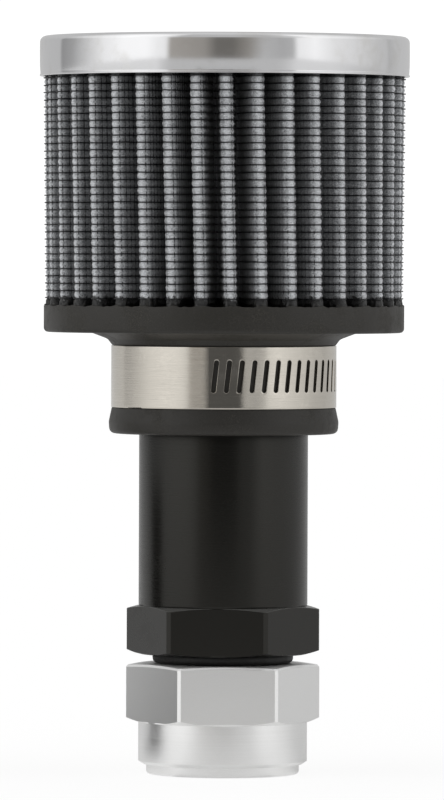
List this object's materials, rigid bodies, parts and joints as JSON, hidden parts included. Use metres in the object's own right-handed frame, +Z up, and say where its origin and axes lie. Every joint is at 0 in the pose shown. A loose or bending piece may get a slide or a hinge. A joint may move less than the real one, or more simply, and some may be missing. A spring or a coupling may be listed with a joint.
{
  "type": "breather filter",
  "caption": "Pleated breather filter with a metal end cap and rubber base, clamped on a hollow screw-in body with a hexagonal weld bung.",
  "frame": {"origin": "centre of the bung's lower face, where the part stands", "axes": "+Z up the common axis of the turned pieces towards the end cap; -Y is the front seen in the picture, and the clamp's screw is at +Y"},
  "size_m": [0.0762, 0.0762, 0.1521],
  "materials": {
    "bare_aluminium": "turned and milled, bare",
    "black_anodised": "black anodised, satin",
    "seal_rubber": "smooth",
    "black_rubber": "moulded, matte",
    "coated_wire": "black coated wire mesh",
    "cotton_gauze": "oiled cotton gauze",
    "potting_resin": "cast, matte",
    "chrome_plate": "bright chrome plate",
    "stainless_steel": "cold rolled, lightly brushed"
  },
  "bodies": {
    "bung": {"weld_bung": "bare_aluminium"},
    "seal": {"o_ring": "seal_rubber"},
    "adapter": {"breather_body": "black_anodised"},
    "filter": {"rubber_base": "black_rubber", "outer_screen": "coated_wire", "gauze_media": "cotton_gauze", "inner_screen": "coated_wire", "cap_potting": "potting_resin", "end_cap": "chrome_plate"},
    "clamp": {"clamp_band": "stainless_steel", "clamp_saddle": "stainless_steel", "clamp_housing": "stainless_steel"},
    "screw": {"clamp_screw": "stainless_steel"}
  },
  "joints": [
    {"name": "body_lift", "type": "slide", "parent": "bung", "child": "seal", "axis": [0, 0, 1], "range_m": [0, 0.0107]},
    {"name": "body_turn", "type": "hinge", "parent": "seal", "child": "adapter", "pos_m": [0, 0, 0.0249], "axis": [0, 0, 1], "range_deg": [0, 1800]},
    {"name": "filter_lift", "type": "slide", "parent": "adapter", "child": "filter", "axis": [0, 0, 1], "range_m": [0, 0.03]},
    {"name": "clamp_turn", "type": "hinge", "parent": "filter", "child": "clamp", "pos_m": [0, 0, 0.08189], "axis": [0, 0, 1], "continuous": true},
    {"name": "screw_turn", "type": "hinge", "parent": "clamp", "child": "screw", "pos_m": [0, 0.02872, 0.08189], "axis": [-1, 0, 0], "continuous": true}
  ],
  "couplings": [
    {"joint": "body_lift", "follows": "body_turn", "m_per_rad": 0.00033688}
  ]
}
